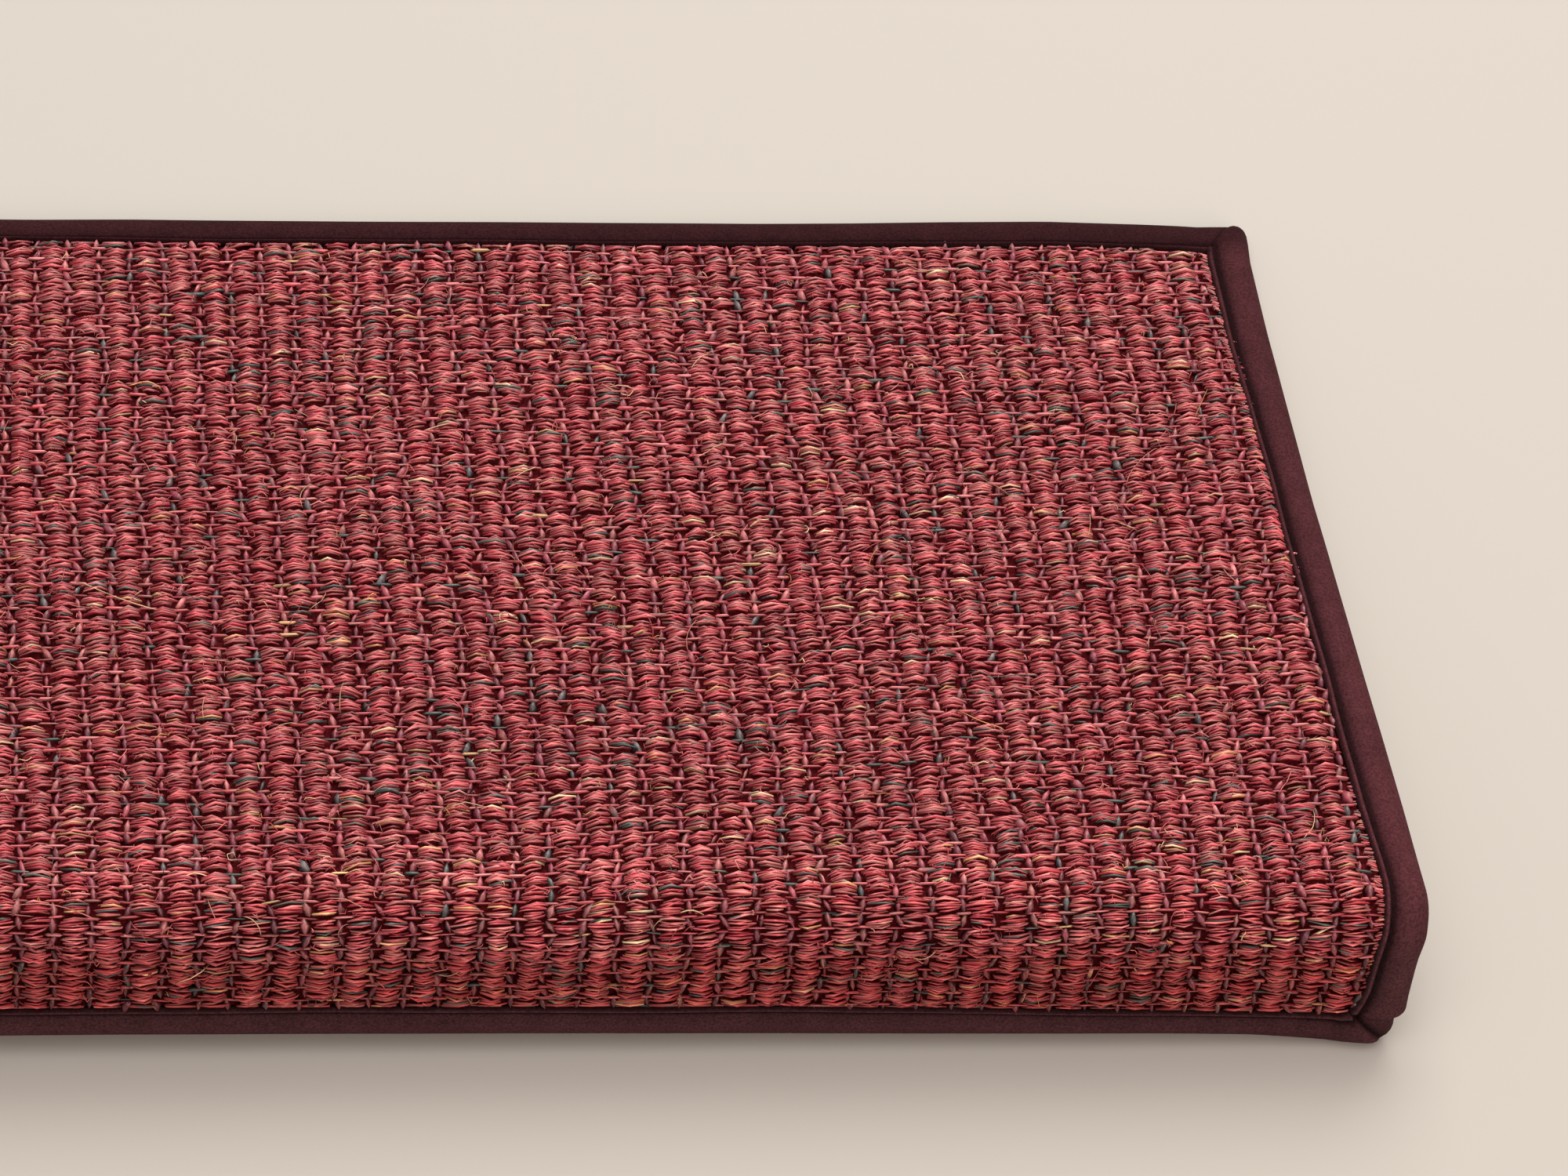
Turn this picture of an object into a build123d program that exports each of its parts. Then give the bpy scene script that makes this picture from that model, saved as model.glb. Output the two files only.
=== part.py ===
from build123d import *
from math import atan2, cos, sin, sqrt
import os

# Stair tread mat of ribbed woven sisal. A flat part lies on the tread, turns over the nose of the
# step and hangs down as a short lip. A textile tape is folded round the whole edge and sewn down,
# with a mitre at each of its four corners.
# Millimetres. +X runs across the stair and +Y to the back of the tread. The mat stands on a level
# floor as it does off the stair, on its back edge and on the end of its lip, so its flat part leans.

# Overall, over the tape
mat_width = 650.0
tread_depth = 235.0  # front face of the lip to the back edge
nose_drop = 41.0  # top face to the end of the lip
rim_thickness = 6.0
nose_radius = 10.0  # outside of the bend
corner_radius = 5.0  # in plan, at the four corners
rim_flat = 0.6  # flat between the two rounds of the folded tape, seen in section

# Binding tape
tape_thickness = 1.0
tape_reach = 10.0  # from the outer edge to the tape's inner edge, on both sides of the mat
seam_inset = 1.8  # from the tape's inner edge to the seam
seam_width = 0.7
seam_depth = 0.4
mitre_width = 0.5
mitre_depth = 0.3

# Woven pile
rib_pitch = 7.4
rib_width = 5.4  # at its foot
crest_width = 2.6  # flat stretch along its top
valley_height = 5.2  # above the underside
crest_height = 6.6

cut_past = 2.0  # how far a cutting tool runs past the skin it cuts

rim_radius = (rim_thickness - rim_flat) / 2
window_half = mat_width / 2 - tape_reach  # the pile shows in a window this far to each side
lip_length = nose_drop - rim_thickness  # from the underside's plane down
pressed_rim = (2 - sqrt(2)) * (rim_radius - tape_thickness)  # bevel that just touches the round of the fold

# The mat's pose: its lean, and the point below the front face where the underside's plane begins
lean = atan2(lip_length, tread_depth - rim_thickness)
back_reach = (tread_depth - rim_radius) * cos(lean) + (rim_thickness - rim_radius) * sin(lean) + rim_radius
front_reach = rim_radius * cos(lean) - (lip_length - rim_radius) * sin(lean) - rim_radius
front_y = -(back_reach + front_reach) / 2
front_z = (tread_depth - rim_radius) * sin(lean) + rim_radius * (1 - cos(lean))

to_back = Vector(0, cos(lean), -sin(lean))
to_top = Vector(0, sin(lean), cos(lean))
heel = Vector(0, front_y, front_z)
side_view = Plane(origin=heel, x_dir=to_back, z_dir=(1, 0, 0))
bend_height = rim_thickness - nose_radius  # of the bend's axis, above the underside

tread_start = Plane(origin=heel + to_back * nose_radius, x_dir=(1, 0, 0), z_dir=-to_back)
lip_start = Plane(
    origin=heel + to_back * rim_thickness + to_top * bend_height,
    x_dir=(1, 0, 0),
    z_dir=-to_top,
)
bend_axis = Axis(heel + to_back * nose_radius + to_top * bend_height, (1, 0, 0))


def bent_band(inset, under, over):
    # The mat's side view between two heights above its underside, with both ends cut short
    back_end = tread_depth - inset
    lip_end = inset - lip_length
    with BuildSketch(side_view) as band:
        with BuildLine():
            Line((back_end, over), (nose_radius, over))
            TangentArc((nose_radius, over), (rim_thickness - over, bend_height), tangent=(-1, 0))
            Polyline(
                (rim_thickness - over, bend_height),
                (rim_thickness - over, lip_end),
                (rim_thickness - under, lip_end),
                (rim_thickness - under, bend_height),
            )
            TangentArc((rim_thickness - under, bend_height), (nose_radius, under), tangent=(0, 1))
            Polyline((nose_radius, under), (back_end, under), (back_end, over))
        make_face()
    return band.sketch


def bent_slab(inset, shape_rim, rim_size):
    # The whole bent mat with round corners, each face moved in by the same inset, and its rim shaped
    width = mat_width - 2 * inset
    with BuildPart() as slab:
        extrude(bent_band(inset, inset, rim_thickness - inset), amount=width / 2, both=True)
        back_face = slab.faces().sort_by(Axis(heel, to_back))[-1]
        lip_face = slab.faces().sort_by(Axis(heel, to_top))[0]
        corners = back_face.edges().sort_by(SortBy.LENGTH)[:2] + lip_face.edges().sort_by(SortBy.LENGTH)[:2]
        fillet(corners, radius=corner_radius - inset)
        thickness = rim_thickness - 2 * inset
        skin_joins = slab.edges().filter_by(Axis.X).filter_by(lambda edge: edge.length > width - corner_radius)
        corner_sides = slab.edges().filter_by(lambda edge: abs(edge.length - thickness) < 1e-4)
        rim = [edge for edge in slab.edges() if edge not in skin_joins and edge not in corner_sides]
        shape_rim(rim, rim_size)
    return slab.part


def ribbed_section(plane):
    # The pile seen from the front: flat below, with a rib and a narrow flat valley by turns above
    rib_count = round(2 * window_half / rib_pitch)
    spacing = 2 * window_half / rib_count
    with BuildSketch(plane) as section:
        with BuildLine():
            Polyline(
                (-window_half, valley_height),
                (-window_half, 0),
                (window_half, 0),
                (window_half, valley_height),
            )
            start = (-window_half, valley_height)
            for i in range(rib_count):
                middle = -window_half + (i + 0.5) * spacing
                rib_end = (middle + rib_width / 2, valley_height)
                Polyline(
                    start,
                    (middle - rib_width / 2, valley_height),
                    (middle - crest_width / 2, crest_height),
                    (middle + crest_width / 2, crest_height),
                    rib_end,
                )
                start = rib_end
            Line(start, (window_half, valley_height))
        make_face()
    return section.sketch


os.makedirs("parts", exist_ok=True)
core = bent_slab(tape_thickness, chamfer, pressed_rim)

# Woven sisal: the ribbed pile shows in the tape's window, and its pressed rim runs on inside the fold
with BuildPart() as sisal_mat:
    add(core)
    extrude(ribbed_section(tread_start), amount=-(tread_depth - tape_reach - nose_radius))
    revolve(ribbed_section(tread_start), axis=bend_axis, revolution_arc=90)
    extrude(ribbed_section(lip_start), amount=nose_drop - nose_radius - tape_reach)

# The seam presses a narrow groove into the tape, all the way round
with BuildPart() as seam_groove:
    outer_inset = tape_reach - seam_inset - seam_width
    inner_inset = tape_reach - seam_inset
    groove_floor = rim_thickness - seam_depth
    groove_top = rim_thickness + cut_past
    extrude(bent_band(outer_inset, groove_floor, groove_top), amount=mat_width / 2 - outer_inset, both=True)
    extrude(
        bent_band(inner_inset, groove_floor, groove_top),
        amount=mat_width / 2 - inner_inset,
        both=True,
        mode=Mode.SUBTRACT,
    )

# Where the strip turns each corner its folded edge lies across the tape, from the pile to the rim
tread_skin = Plane(origin=heel + to_top * (rim_thickness - mitre_depth), x_dir=(1, 0, 0), z_dir=to_top)
lip_skin = Plane(origin=heel + to_back * mitre_depth, x_dir=(1, 0, 0), z_dir=-to_back)
with BuildPart() as mitre_folds:
    for skin, corner_v, turn in (
        (tread_skin, tread_depth - tape_reach / 2, 45),
        (lip_skin, tape_reach / 2 - lip_length, -45),
    ):
        for side in (-1, 1):
            with BuildSketch(skin) as fold:
                with Locations((side * (window_half + tape_reach / 2), corner_v)):
                    Rectangle(sqrt(2) * (tape_reach + cut_past), mitre_width, rotation=side * turn)
            extrude(amount=cut_past)

# Binding tape: one strip folded over the rim, open over the pile on the top and on the underside
with BuildPart() as binding_tape:
    add(bent_slab(0, fillet, rim_radius))
    add(core, mode=Mode.SUBTRACT)
    extrude(
        bent_band(tape_reach, -cut_past, rim_thickness + cut_past),
        amount=window_half,
        both=True,
        mode=Mode.SUBTRACT,
    )
    add(seam_groove.part, mode=Mode.SUBTRACT)
    add(mitre_folds.part, mode=Mode.SUBTRACT)

for piece, name in ((sisal_mat.part, "sisal_mat"), (binding_tape.part, "binding_tape")):
    piece.label = name
    export_step(piece, f"parts/{name}.step")
    print(name, round(piece.volume / 1000, 1), "cm3,", len(piece.faces()), "faces,", piece.bounding_box())
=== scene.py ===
from math import atan2, cos, pi, radians, sin

import bpy
import numpy as np
from mathutils import Matrix, Vector


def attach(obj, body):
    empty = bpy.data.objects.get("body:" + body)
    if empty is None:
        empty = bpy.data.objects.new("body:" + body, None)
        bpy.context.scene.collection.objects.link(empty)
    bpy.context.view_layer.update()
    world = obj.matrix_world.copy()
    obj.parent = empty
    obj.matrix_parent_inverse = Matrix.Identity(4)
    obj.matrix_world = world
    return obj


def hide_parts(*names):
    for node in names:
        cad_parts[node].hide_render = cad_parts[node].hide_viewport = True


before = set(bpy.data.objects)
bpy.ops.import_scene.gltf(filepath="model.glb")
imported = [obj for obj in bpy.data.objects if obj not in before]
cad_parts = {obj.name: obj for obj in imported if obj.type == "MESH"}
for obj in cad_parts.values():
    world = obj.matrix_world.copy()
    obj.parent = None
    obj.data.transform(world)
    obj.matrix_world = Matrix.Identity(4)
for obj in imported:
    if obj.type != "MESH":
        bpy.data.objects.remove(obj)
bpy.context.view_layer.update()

rng = np.random.default_rng(20)
mm = 0.001

# The mat as it was cut and bent, in millimetres, with the same values as the CAD
mat = {
    "width": 650.0,
    "depth": 235.0,  # front of the lip to the back edge
    "drop": 41.0,  # top face to the end of the lip
    "thickness": 6.0,
    "noseRadius": 10.0,  # outside of the bend
    "rimRadius": 2.7,
    "tapeReach": 10.0,
}

lipLength = mat["drop"] - mat["thickness"]
flatRun = mat["depth"] - mat["noseRadius"]  # back edge to the start of the bend
bendRun = mat["noseRadius"] * pi / 2
flatLength = flatRun + bendRun + mat["drop"] - mat["noseRadius"]  # back edge to the end of the lip
halfWidth = mat["width"] / 2
windowHalf = halfWidth - mat["tapeReach"]

# The mat leans because it stands on its back edge and on the end of its lip
lean = atan2(lipLength, mat["depth"] - mat["thickness"])
rim = mat["rimRadius"]
backReach = (mat["depth"] - rim) * cos(lean) + (mat["thickness"] - rim) * sin(lean) + rim
frontReach = rim * cos(lean) - (lipLength - rim) * sin(lean) - rim
frontUp = (mat["depth"] - rim) * sin(lean) + rim * (1 - cos(lean))
heel = np.array([0.0, -(backReach + frontReach) / 2, frontUp])
across = np.array([1.0, 0.0, 0.0])
toBack = np.array([0.0, cos(lean), -sin(lean)])
toTop = np.array([0.0, sin(lean), cos(lean)])


def overNose(points):
    # From (across, along the face from the back edge, height above the underside), in millimetres, to a
    # place on the bent mat, in metres
    x, along, height = np.moveaxis(np.asarray(points, float), -1, 0)
    radius = mat["noseRadius"] - mat["thickness"] + height
    turn = np.clip((along - flatRun) / mat["noseRadius"], 0, pi / 2)
    past = np.maximum(along - flatRun - bendRun, 0)
    back = np.maximum(flatRun - along, 0) + mat["noseRadius"] - radius * np.sin(turn)
    up = mat["thickness"] - mat["noseRadius"] + radius * np.cos(turn) - past
    place = x[..., None] * across + back[..., None] * toBack + up[..., None] * toTop + heel
    # The floor presses the tape flat where the mat stands on it
    place[..., 2] = np.maximum(place[..., 2], 0.0)
    return place * mm


# The mat was cut and taped by hand, so its edges wander by a few millimetres. Each function holds places
# along an edge, in millimetres, and where the edge lies there
def frontInset(x):
    # The tape on the lip covers more of the pile towards the middle than at the corners
    places = [0, 25, 60, 125, 195, 265]
    return np.interp(windowHalf - np.abs(x), places, [10.0, 10.9, 11.9, 13.4, 14.0, 14.4])


def frontEdge(x):
    # End of the lip along the face. The corner folds hang a little lower than the middle
    places = [9.6, 13, 17, 23, 33, 53, 105, 176, 277]
    short = [0.05, 0.2, 0.6, 1.4, 2.5, 3.0, 3.4, 4.3, 5.0]
    return flatLength - np.interp(halfWidth - np.abs(x), places, short)


def backEdge(x):
    # Drawn in at the middle, and fuller before the corners
    places = [0, 33, 57, 105, 157, 205, 229, 252, 276, 300, 308, 314]
    drawnIn = [2.2, 2.0, 1.3, 1.0, 0.2, -0.35, -1.0, -2.1, -2.8, -2.2, -1.9, -1.5]
    return np.interp(np.abs(x), places, drawnIn)


def backInner(x):
    # The tape's inner edge along the back follows its outer edge less closely
    places = [0, 75, 181, 229, 252, 276, 300, 314]
    return 9.6 + np.interp(np.abs(x), places, [2.0, 1.7, 0.6, 0.0, -0.6, -1.2, -0.9, 0.7])


def sideInset(along):
    # The tape covers more of the pile at all four corners, and a little more before the bend
    fromEnd = np.array([35, 29, 23, 17, 13.5, 12, 10])
    places = [10, 30, 95, 150, 200, 222, *(flatLength - fromEnd)]
    return np.interp(along, places, [1.5, 1.4, 0.2, 0.5, 0.8, 0.1, 0.1, 0.5, 0.8, 1.1, 1.9, 2.5, 3.2])


def edgeRoom(x, along):
    # How far a place is inside the tape's window
    front = flatLength - frontInset(x) - along
    side = windowHalf - sideInset(along) - np.abs(x)
    return np.minimum(np.minimum(side, along - backInner(x)), front)


def toLinear(code):
    parts = [int(code[i : i + 2], 16) / 255 for i in (1, 3, 5)]
    return tuple(c / 12.92 if c <= 0.04045 else ((c + 0.055) / 1.055) ** 2.4 for c in parts) + (1.0,)


def addNode(tree, kind, settings=(), links=()):
    # settings are attributes or input values by name, links are source sockets by input name
    node = tree.nodes.new(kind)
    for name, value in dict(settings).items():
        if isinstance(name, str) and hasattr(node, name):
            setattr(node, name, value)
        else:
            node.inputs[name].default_value = value
    for name, source in dict(links).items():
        tree.links.new(source, node.inputs[name])
    return node


# Nearly all values of a noise texture lie between these
noiseSpan = {"From Min": 0.3, "From Max": 0.7}


def newMaterial(name):
    material = bpy.data.materials.new(name)
    material.use_nodes = True
    tree = material.node_tree
    tree.nodes.clear()
    return material, tree


def addPiece(name, points, faces, materials, mapCorners=None, dyes=None, smooth=True, finish=None):
    # One mesh from arrays. Each array in faces has one face a row, and finish gives each face its material
    mesh = bpy.data.meshes.new(name)
    corners = np.concatenate([f.ravel() for f in faces]).astype(np.int32)
    sizes = np.concatenate([np.full(len(f), f.shape[1]) for f in faces])
    mesh.vertices.add(len(points))
    mesh.vertices.foreach_set("co", np.asarray(points, np.float32).ravel())
    mesh.loops.add(len(corners))
    mesh.loops.foreach_set("vertex_index", corners)
    mesh.polygons.add(len(sizes))
    mesh.polygons.foreach_set("loop_start", np.concatenate([[0], np.cumsum(sizes)[:-1]]).astype(np.int32))
    mesh.polygons.foreach_set("use_smooth", np.full(len(sizes), smooth))
    if mapCorners is not None:
        layer = mesh.uv_layers.new(name="OFBake")
        layer.data.foreach_set("uv", np.concatenate([m.reshape(-1) for m in mapCorners]).astype(np.float32))
    if dyes is not None:
        layer = mesh.attributes.new("dye", "FLOAT_COLOR", "POINT")
        layer.data.foreach_set("color", np.asarray(dyes, np.float32).ravel())
    mesh.update(calc_edges=True)
    for material in materials:
        mesh.materials.append(material)
    if finish is not None:
        mesh.polygons.foreach_set("material_index", finish.astype(np.int32))
    piece = bpy.data.objects.new(name, mesh)
    bpy.context.scene.collection.objects.link(piece)
    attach(piece, "root")
    return piece


def addYarns(name, paths, radii, dyes, shade, material, columns):
    # Closed three-sided yarns, pointed at both ends. paths is (yarn, step, 3) on the flat mat, radii is
    # (yarn, inner step), dyes is (yarn, 4), shade darkens the dye at each step where the yarn dips into
    # the cloth, and columns sets how many lie side by side in the bake's map
    count, steps = paths.shape[:2]
    inner = steps - 2
    run = np.gradient(paths, axis=1)[:, 1:-1]
    run /= np.linalg.norm(run, axis=-1, keepdims=True) + 1e-9
    aside = np.cross(run, [0.0, 0.0, 1.0])
    aside /= np.linalg.norm(aside, axis=-1, keepdims=True) + 1e-9
    above = np.cross(aside, run)
    sides = 3
    turns = pi / 2 + np.arange(sides) * 2 * pi / sides
    ring = aside[:, :, None] * np.cos(turns)[:, None] + above[:, :, None] * np.sin(turns)[:, None]
    rings = paths[:, 1:-1, None] + ring * radii[..., None, None]
    tips = paths[:, [0, -1]]
    points = np.concatenate([rings.reshape(count, -1, 3), tips], axis=1)
    each = inner * sides + 2
    shades = np.concatenate([np.repeat(shade[1:-1], sides), [shade[0], shade[-1]]])
    pointDyes = np.repeat(dyes[:, None], each, axis=1)
    pointDyes[..., :3] *= shades[None, :, None]
    first = np.arange(count)[:, None, None] * each
    step = np.arange(inner - 1)[:, None] * sides
    side = np.arange(sides)
    after = (side + 1) % sides
    quads = np.stack([step + side, step + sides + side, step + sides + after, step + after], -1)
    startFan = np.stack([np.full(sides, inner * sides), side, after], -1)
    last = (inner - 1) * sides
    endFan = np.stack([last + side, np.full(sides, inner * sides + 1), last + after], -1)
    fans = np.concatenate([startFan, endFan])
    allQuads = (first + quads.reshape(-1, 4)).reshape(-1, 4)
    allFans = (first + fans).reshape(-1, 3)

    # Each yarn has a cell of its own in the map: u along it, v round it
    rows = -(-count // columns)
    k = np.repeat(np.arange(inner - 1), sides)
    v = np.tile(side, inner - 1)
    quadU = np.stack([k + 1, k + 2, k + 2, k + 1], -1) / (steps - 1)
    quadV = np.stack([v, v, v + 1, v + 1], -1) / sides
    startU = np.tile([0, 1, 1], (sides, 1))
    endU = np.tile([inner, inner + 1, inner], (sides, 1))
    startV = np.stack([side + 0.5, side, side + 1], -1)
    endV = np.stack([side, side + 0.5, side + 1], -1)
    fanU = np.concatenate([startU, endU]) / (steps - 1)
    fanV = np.concatenate([startV, endV]) / sides
    cell = np.stack([np.arange(count) % columns, np.arange(count) // columns], -1)[:, None, None]
    inset = 0.06
    quadMap = (cell + inset + (1 - 2 * inset) * np.stack([quadU, quadV], -1)) / [columns, rows]
    fanMap = (cell + inset + (1 - 2 * inset) * np.stack([fanU, fanV], -1)) / [columns, rows]
    return addPiece(
        name,
        overNose(points.reshape(-1, 3)),
        [allQuads, allFans],
        [material],
        mapCorners=[quadMap, fanMap],
        dyes=pointDyes,
    )


# Sisal: a hard plant fibre, dyed and loosely spun. Along each strand, painted highlights of the glossy cells
# and painted shade between them streak the unevenly taken dye, and slate and straw fibres are spun in with
# the red
sisal = {
    "roughness": 0.34,
    "ior": 1.53,
    "fibresAcross": 5.5,  # fibres that show round a strand, about 0.35 mm each; real ones are nearer 0.15 mm
    "fibresAlong": 1.3,  # how often a streak begins anew along a strand
    "streak": 0.55,
    "bumpHeight": 0.14,  # mm
    "spunAcross": 4.5,
    "spunAlong": 1.6,
    "spunIn": [
        # colour, where in the noise it begins and is fullest, and its share there: slate, then straw
        ("#414a45", 0.61, 0.67, 0.75),
        ("#c79268", 0.33, 0.27, 0.5),
    ],
}


def sisalMaterial(columns, rows):
    material, tree = newMaterial("dyed_spun_sisal")
    dye = addNode(tree, "ShaderNodeAttribute", {"attribute_name": "dye"})
    place = addNode(tree, "ShaderNodeUVMap", {"uv_map": "OFBake"})
    lanes = addNode(tree, "ShaderNodeMapping", {}, {"Vector": place.outputs["UV"]})
    lanes.inputs["Scale"].default_value = (columns * sisal["fibresAlong"], rows * sisal["fibresAcross"], 1.0)
    # The dye's alpha is a number of each yarn's own, so that no two are streaked alike
    lot = addNode(tree, "ShaderNodeMath", {"operation": "MULTIPLY", 1: 60.0}, {0: dye.outputs["Alpha"]})
    streakSettings = {"noise_dimensions": "4D", "Scale": 1.0, "Detail": 3.0, "Roughness": 0.65}
    streakLinks = {"Vector": lanes.outputs["Vector"], "W": lot.outputs["Value"]}
    streaks = addNode(tree, "ShaderNodeTexNoise", streakSettings, streakLinks)
    # The streaks are partly painted highlight and painted shade, and partly uneven dye
    shadeRange = {**noiseSpan, "To Min": 1 - sisal["streak"], "To Max": 1 + sisal["streak"]}
    shade = addNode(tree, "ShaderNodeMapRange", shadeRange, {"Value": streaks.outputs["Fac"]})
    # The fibres that are spun in have a noise of their own, at another place
    elsewhere = {"Location": (31.7, 12.3, 5.0)}
    spunLanes = addNode(tree, "ShaderNodeMapping", elsewhere, {"Vector": place.outputs["UV"]})
    spunLanes.inputs["Scale"].default_value = (columns * sisal["spunAlong"], rows * sisal["spunAcross"], 1.0)
    blendSettings = {"noise_dimensions": "4D", "Scale": 1.0, "Detail": 1.0}
    blendLinks = {"Vector": spunLanes.outputs["Vector"], "W": lot.outputs["Value"]}
    blend = addNode(tree, "ShaderNodeTexNoise", blendSettings, blendLinks)
    colour = dye.outputs["Color"]
    for code, begins, fullest, most in sisal["spunIn"]:
        reachOf = {"From Min": begins, "From Max": fullest, "To Max": most}
        share = addNode(tree, "ShaderNodeMapRange", reachOf, {"Value": blend.outputs["Fac"]})
        # The colours of this node are its inputs 6 and 7 and its output 2
        mixed = addNode(tree, "ShaderNodeMix", {"data_type": "RGBA"})
        mixed.inputs[7].default_value = toLinear(code)
        tree.links.new(share.outputs["Result"], mixed.inputs[0])
        tree.links.new(colour, mixed.inputs[6])
        colour = mixed.outputs[2]
    shadedLinks = {0: colour, "Scale": shade.outputs["Result"]}
    shaded = addNode(tree, "ShaderNodeVectorMath", {"operation": "SCALE"}, shadedLinks)
    bumpSettings = {"Strength": 0.7, "Distance": sisal["bumpHeight"] * mm}
    bump = addNode(tree, "ShaderNodeBump", bumpSettings, {"Height": streaks.outputs["Fac"]})
    shader = addNode(
        tree,
        "ShaderNodeBsdfPrincipled",
        {"Roughness": sisal["roughness"], "IOR": sisal["ior"]},
        {"Base Color": shaded.outputs["Vector"], "Normal": bump.outputs["Normal"]},
    )
    addNode(tree, "ShaderNodeOutputMaterial", {}, {"Surface": shader.outputs["BSDF"]})
    return material


# Dyes of the pile: share of the strands, and colour
ribDyes = [
    (0.38, "#b74c56"),
    (0.24, "#c05e62"),
    (0.16, "#9a2c38"),
    (0.11, "#cd7879"),
    (0.05, "#ad645f"),
    (0.04, "#4c5552"),
    (0.02, "#c9946c"),
    (0.01, "#dcc09a"),
]


# How the dyes spread from yarn to yarn and the light painted on them, as shares of red, green and blue, with
# places in millimetres from the start of the bend. The nose gets painted light, and the lip painted shade,
# darker and redder
dyeSpreadAndPaintedLight = {
    "depth": (1.02, 0.18),  # mean and spread from yarn to yarn
    "lipShadeFrom": 13,
    "lipShadeOver": 7,
    "paintedLipShade": np.array([0.20, 0.47, 0.52]),
    "noseLightAt": 3,
    "noseLightOver": 13,
    "paintedNoseLight": np.array([0.26, 0.42, 0.34]),
}


def pickDyesWithPaintedLight(palette, along):
    # One dye for each yarn, with painted shade on the lip and painted light on the nose, and in alpha a
    # number of its own
    count = len(along)
    shares = np.array([share for share, _ in palette])
    colours = np.array([toLinear(code) for _, code in palette])
    picked = colours[rng.choice(len(palette), size=count, p=shares / shares.sum())]
    depth = rng.normal(*dyeSpreadAndPaintedLight["depth"], (count, 1)).clip(0.5, 1.6)
    # The first share is painted shade down the lip, darker and redder; the second is painted light on the
    # nose
    full = np.clip((along - flatRun - dyeSpreadAndPaintedLight["lipShadeFrom"]) / dyeSpreadAndPaintedLight["lipShadeOver"], 0, 1)[:, None]
    noseLight = np.exp(-(((along - flatRun - dyeSpreadAndPaintedLight["noseLightAt"]) / dyeSpreadAndPaintedLight["noseLightOver"]) ** 2))[:, None]
    picked[:, :3] *= depth * (1 - full * dyeSpreadAndPaintedLight["paintedLipShade"])
    picked[:, :3] *= 1 + dyeSpreadAndPaintedLight["paintedNoseLight"] * noseLight
    picked[:, 3] = rng.random(count)
    return picked


# The weave, in millimetres. Heights are above the underside of the mat
weave = {
    "ribs": 85,
    "rows": 63,
    "noseRows": 10,  # of them over the nose and down the lip, where the cloth is pushed together
    "strands": 7,
    "ribWidth": 5.75,
    "bundleDepth": 3.65,  # along the rib, at its middle
    "draw": 0.36,  # how much the bundle narrows to its ends
    "ribFoot": 4.7,
    "footDip": 0.6,  # how far a strand's ends go down below the rib's foot
    "ribCrest": 6.9,
    "archTurn": 1.35,  # radians from the top of a strand's arch to each end
    "archFull": 0.68,  # below 1 the arch is fuller than a cosine
    "strandRadius": 0.29,
    "baseHeight": 4.3,
    "edgeHeight": 4.6,  # how high the pile may stand at the tape
    "edgeRise": 1.1,  # and how much higher for each millimetre away from it
    "tuck": 2.4,  # cells this far under the tape are still woven
    "slant": (-0.25, 0.34),  # mean and spread from bundle to bundle, as in the next four
    "high": (0.0, 0.10),
    "shift": (0.0, 0.15),
    "wide": (1.0, 0.06),
    "bow": (-0.2, 0.18),
    "archShade": [0.12, 0.66, 1.22, 0.66, 0.12],  # light at each step of a strand
}

# How unevenly the strands of one bundle lie, in millimetres, and how uneven their size is, as a share
strand = {
    "shoulder": 0.66,  # of the way from the middle to a tip, and its spread
    "shoulderSpread": 0.05,
    "top": 0.26,  # the top is at most this far off the middle
    "shift": 0.1,
    "slant": 0.3,
    "bow": 0.16,
    "high": 0.18,
    "offCentre": 0.3,
    "half": 0.13,
    "radius": 0.2,
}

ribPitch = 2 * windowHalf / weave["ribs"]
rowPitch = (flatRun - mat["tapeReach"]) / (weave["rows"] - weave["noseRows"])  # on the tread part


def sway(most, turns):
    return most * np.sin(2 * pi * turns)


def wander(x, along):
    # The cloth is not woven or cut quite square: ribs and rows drift by part of a millimetre over waves of
    # 67 to 430 mm, and towards the right side the ribs run askew by 1.6 degrees
    swayX = sway(0.55, along / 190 + x / 430 + 0.1) + sway(0.3, along / 67 + x / 120)
    swayAlong = sway(0.5, x / 230 + along / 310) + sway(0.3, x / 88 - along / 140 + 0.3)
    skew = np.tan(radians(1.6)) * (flatLength / 2 - along) * np.clip((x - 120) / 190, 0, 1)
    return x + swayX + skew, along + swayAlong


def cells():
    # Middle of every pile cell, with a rib to spare past both sides and a row at the back
    ribs = np.arange(-1, weave["ribs"] + 1)
    rows = np.arange(-1, weave["rows"])
    i, j = np.meshgrid(ribs, rows, indexing="ij")
    x = -windowHalf + (i.ravel() + 0.5) * ribPitch
    rowEnds = [-1, weave["rows"] - weave["noseRows"], weave["rows"]]
    places = [mat["tapeReach"] - rowPitch, flatRun, flatLength - mat["tapeReach"]]
    along = np.interp(j.ravel() + 0.5, rowEnds, places)
    return x, along


def overNoseShare(along):
    # 0 on the tread part, 1 from about the middle of the bend on
    return np.clip((along - flatRun + 2) / 8, 0, 1)


def laid(points):
    # Moves flat points by the cloth's drift and presses them down near the tape
    x, along = wander(points[..., 0], points[..., 1])
    limit = weave["edgeHeight"] + weave["edgeRise"] * np.clip(edgeRoom(x, along) + 0.2, 0, 5)
    return np.stack([x, along, np.minimum(points[..., 2], limit)], -1)


def insideWindow(x, along, tuck):
    # What lies inside the tape's window or no further than tuck under the tape
    movedX, movedAlong = wander(x, along)
    return edgeRoom(movedX, movedAlong) > -tuck


cellX, cellAlong = cells()
kept = insideWindow(cellX, cellAlong, weave["tuck"])
cellX, cellAlong = cellX[kept], cellAlong[kept]
cellCount = len(cellX)
print("pile cells:", cellCount)

sisalRows = -(-cellCount // weave["ribs"])
spunSisal = sisalMaterial(weave["ribs"], sisalRows)

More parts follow.
